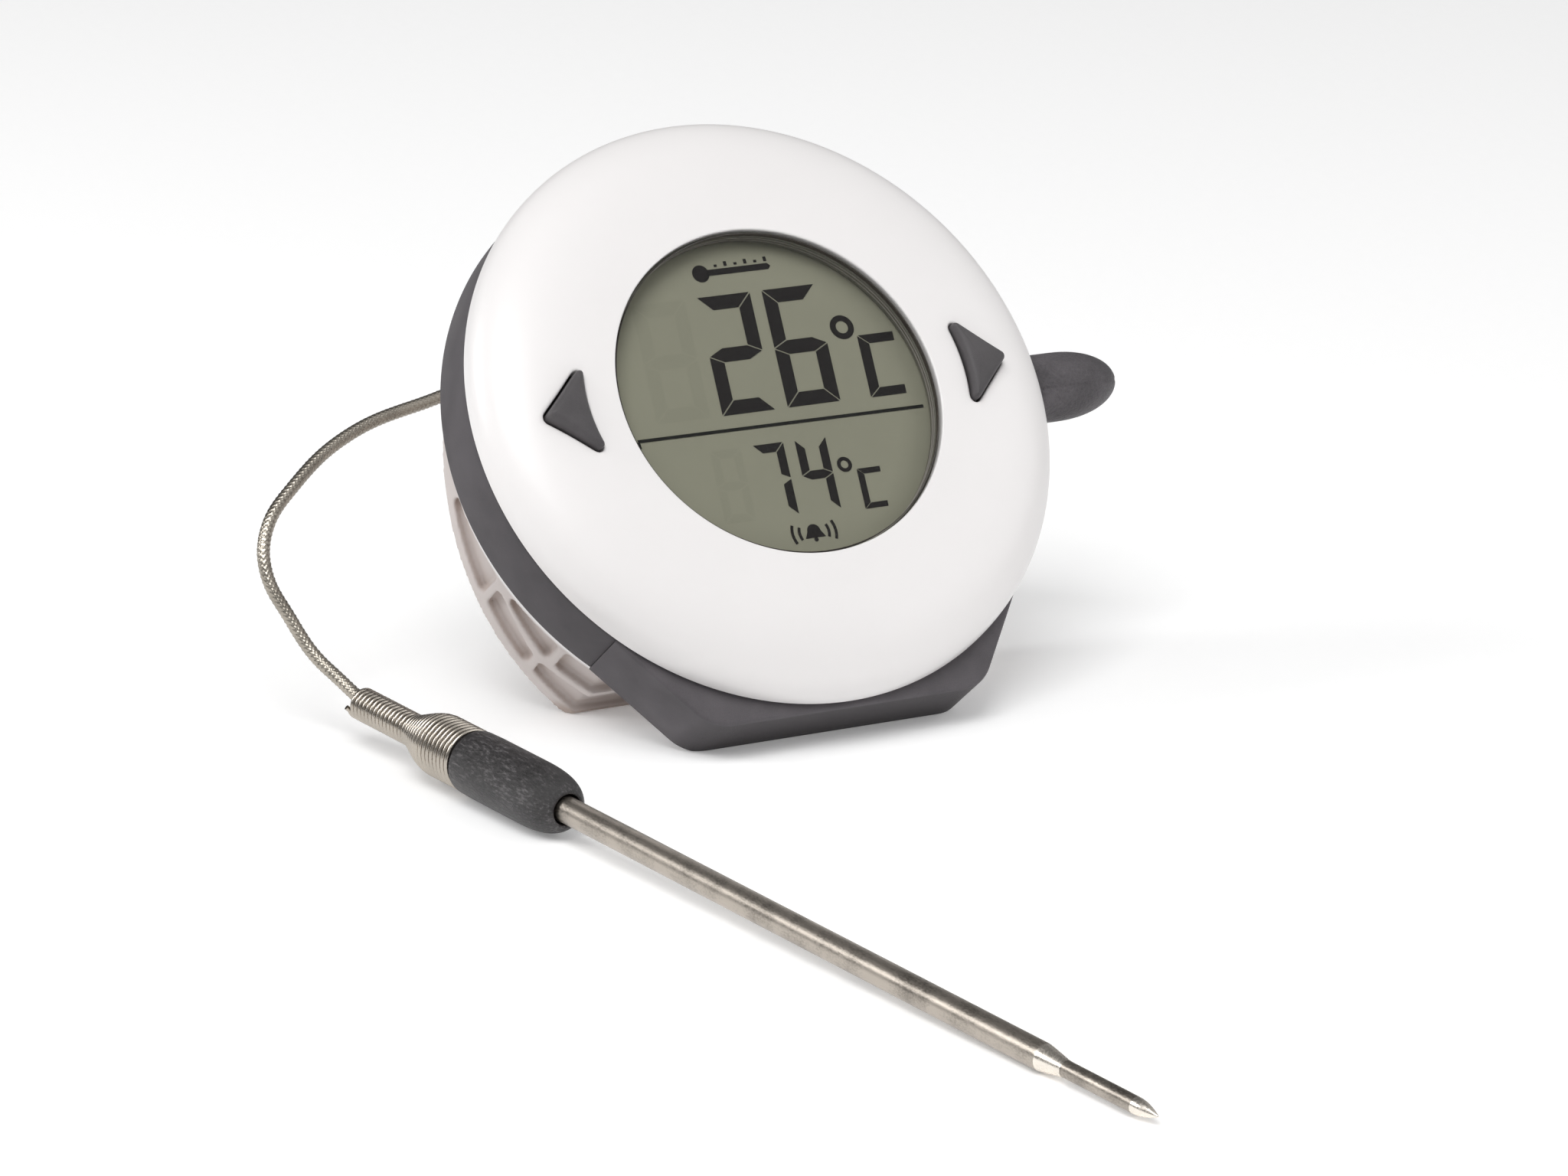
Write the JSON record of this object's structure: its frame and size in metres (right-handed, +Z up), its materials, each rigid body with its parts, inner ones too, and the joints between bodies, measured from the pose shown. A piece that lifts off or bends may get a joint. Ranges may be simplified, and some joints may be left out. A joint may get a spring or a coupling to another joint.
{
  "type": "meat thermometer",
  "caption": "Round alarm thermometer head that leans back on a rubber foot, with two triangular buttons and a wired penetration probe on a braided cable.",
  "frame": {"origin": "middle of the small flat on which the rubber foot rests, on the table", "axes": "+Z up from the table, +X to the right as the display is read, +Y rearwards"},
  "size_m": [0.1187, 0.1907, 0.0707],
  "materials": {
    "white_plastic": "satin white",
    "housing_plastic": "matte warm grey",
    "grey_rubber": "matte dark grey",
    "clear_lens": "polished clear",
    "dark_plastic": "matte brown black",
    "lcd_glass": "grey green liquid crystal",
    "zebra_silicone": "striped silicone",
    "board_green": "solder mask",
    "black_epoxy": "matte black",
    "brushed_steel": "satin",
    "braided_steel": "braided wire",
    "nickel_plate": "plated",
    "gold_flash": "gold flash",
    "brass": "drawn",
    "cell_sleeve": "printed sleeve, plain",
    "handle_plastic": "fine grain black"
  },
  "bodies": {
    "head": {"front_cover": "white_plastic", "rear_housing": "housing_plastic", "rubber_band": "grey_rubber", "foot_block": "grey_rubber", "window_lens": "clear_lens", "window_bezel": "dark_plastic", "lcd_panel": "lcd_glass", "lcd_carrier": "dark_plastic", "zebra_strip_upper": "zebra_silicone", "zebra_strip_lower": "zebra_silicone", "circuit_board": "board_green", "controller_chip": "black_epoxy", "buzzer": "black_epoxy", "board_screw_upper": "brushed_steel", "board_screw_lower": "brushed_steel", "tact_switch_left": "black_epoxy", "tact_switch_right": "black_epoxy", "probe_socket": "black_epoxy", "power_switch_body": "black_epoxy", "unit_switch_body": "black_epoxy", "magnet_left": "nickel_plate", "magnet_right": "nickel_plate", "battery_cell_upper": "cell_sleeve", "battery_cell_lower": "cell_sleeve", "contact_plate_left": "nickel_plate", "contact_plate_right": "nickel_plate", "contact_spring_upper": "nickel_plate", "contact_spring_lower": "nickel_plate", "housing_screw_1": "brushed_steel", "housing_screw_2": "brushed_steel", "housing_screw_3": "brushed_steel", "housing_screw_4": "brushed_steel"},
    "button_left": {"button_cap_left": "grey_rubber", "tact_plunger_left": "white_plastic"},
    "button_right": {"button_cap_right": "grey_rubber", "tact_plunger_right": "white_plastic"},
    "power_knob": {"power_switch_knob": "dark_plastic"},
    "unit_knob": {"unit_switch_knob": "dark_plastic"},
    "battery_door": {"battery_cover": "housing_plastic"},
    "plug": {"plug_pin": "gold_flash", "plug_boot": "grey_rubber", "probe_cable": "braided_steel"},
    "probe": {"strain_spring": "brushed_steel", "probe_handle": "handle_plastic", "probe_tube": "brushed_steel", "sensor_element": "brass"}
  },
  "joints": [
    {"name": "button_left_press", "type": "slide", "parent": "head", "child": "button_left", "axis": [0, 0.7818, -0.6235], "range_m": [0, 0.0006]},
    {"name": "button_right_press", "type": "slide", "parent": "head", "child": "button_right", "axis": [0, 0.7818, -0.6235], "range_m": [0, 0.0006]},
    {"name": "power_switch_slide", "type": "slide", "parent": "head", "child": "power_knob", "axis": [1, 0, 0], "range_m": [0, 0.003]},
    {"name": "unit_switch_slide", "type": "slide", "parent": "head", "child": "unit_knob", "axis": [1, 0, 0], "range_m": [0, 0.003]},
    {"name": "battery_door_tilt", "type": "hinge", "parent": "head", "child": "battery_door", "pos_m": [0, 0.03031, 0.0263], "axis": [1, 0, 0], "range_deg": [0, 80]},
    {"name": "plug_pull", "type": "slide", "parent": "head", "child": "plug", "axis": [1, 0, 0], "range_m": [0, 0.012]},
    {"name": "probe_swing", "type": "hinge", "parent": "plug", "child": "probe", "pos_m": [-0.05509, 0.02159, 0.00536], "axis": [0, 0, 1], "range_deg": [-40, 20], "deforming": ["probe_cable"]}
  ]
}
